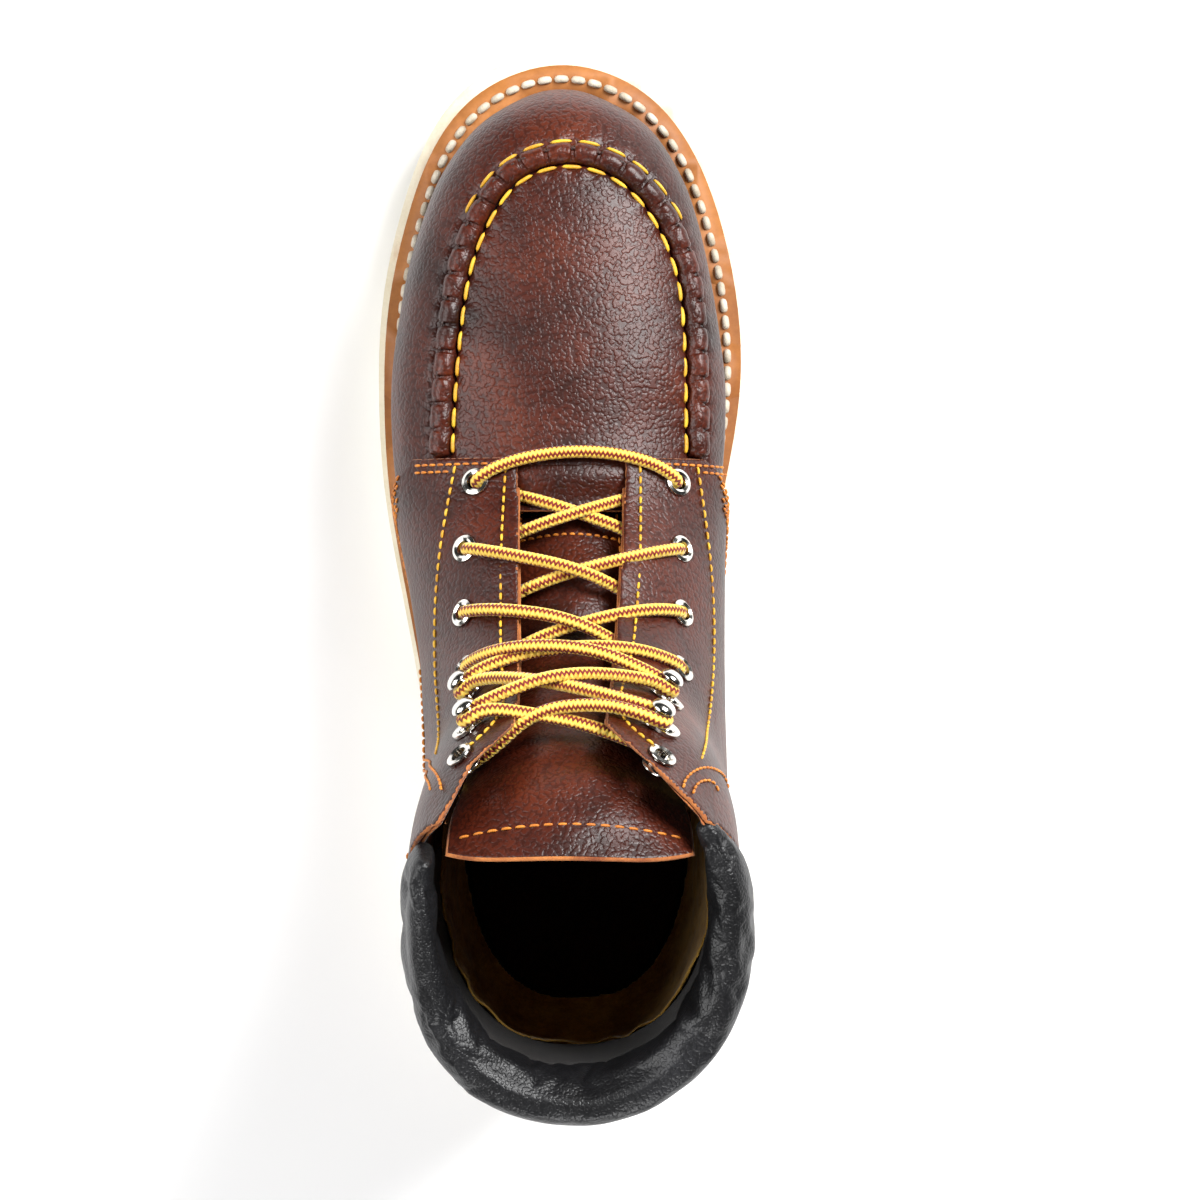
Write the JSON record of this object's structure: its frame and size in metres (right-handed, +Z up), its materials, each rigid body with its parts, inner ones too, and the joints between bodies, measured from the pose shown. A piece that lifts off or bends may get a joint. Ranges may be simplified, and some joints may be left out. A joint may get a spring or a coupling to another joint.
{
  "type": "work_boot",
  "caption": "Left six-inch moc-toe work boot in brown leather with a steel toe cap, welted pale wedge sole, padded black collar, eyelets, speed hooks and a laced tongue.",
  "frame": {"origin": "middle of the outsole's length on the ground", "axes": "+Y to the toe, +X to the inner side of the foot, +Z up"},
  "size_m": [0.1162, 0.3202, 0.1825],
  "materials": {
    "leather_upper": "satin",
    "leather_edge": "matte",
    "leather_welt": "matte",
    "leather_black": "satin",
    "suede": "matte",
    "lining_fabric": "matte",
    "crepe_rubber": "matte",
    "midsole_rubber": "matte",
    "cork": "matte",
    "fibreboard": "matte",
    "foam": "matte",
    "steel": "satin",
    "nickel": "polished",
    "thread_pale": "matte",
    "thread_yellow": "matte",
    "lace_cord": "matte",
    "aglet_plastic": "gloss"
  },
  "bodies": {
    "boot": {"outsole": "crepe_rubber", "midsole": "midsole_rubber", "welt": "leather_welt", "welt_stitching": "thread_pale", "insole_board": "fibreboard", "cork_filler": "cork", "shank": "steel", "footbed": "lining_fabric", "vamp": "leather_upper", "moc_plug": "leather_upper", "moc_stitching": "thread_yellow", "steel_toe_cap": "steel", "toe_cap_edge": "foam", "vamp_lining": "lining_fabric", "quarter_lateral": "leather_upper", "quarter_medial": "leather_upper", "facing_lateral": "leather_edge", "facing_medial": "leather_edge", "quarter_stitching": "thread_yellow", "quarter_lining": "lining_fabric", "heel_counter": "fibreboard", "heel_lining": "suede", "backstay": "leather_upper", "collar_cover": "leather_black", "collar_foam": "foam", "pull_tab": "leather_upper", "eyelets": "nickel", "speed_hooks": "nickel", "hook_rivets": "nickel", "lace": "lace_cord", "lace_aglets": "aglet_plastic"},
    "tongue": {"tongue": "leather_upper"}
  },
  "joints": [
    {"name": "tongue_tilt", "type": "hinge", "parent": "boot", "child": "tongue", "pos_m": [0.0028, 0.0175, 0.0745], "axis": [1, 0, 0], "range_deg": [0, 9], "stiffness_Nm_per_rad": 0.6}
  ]
}
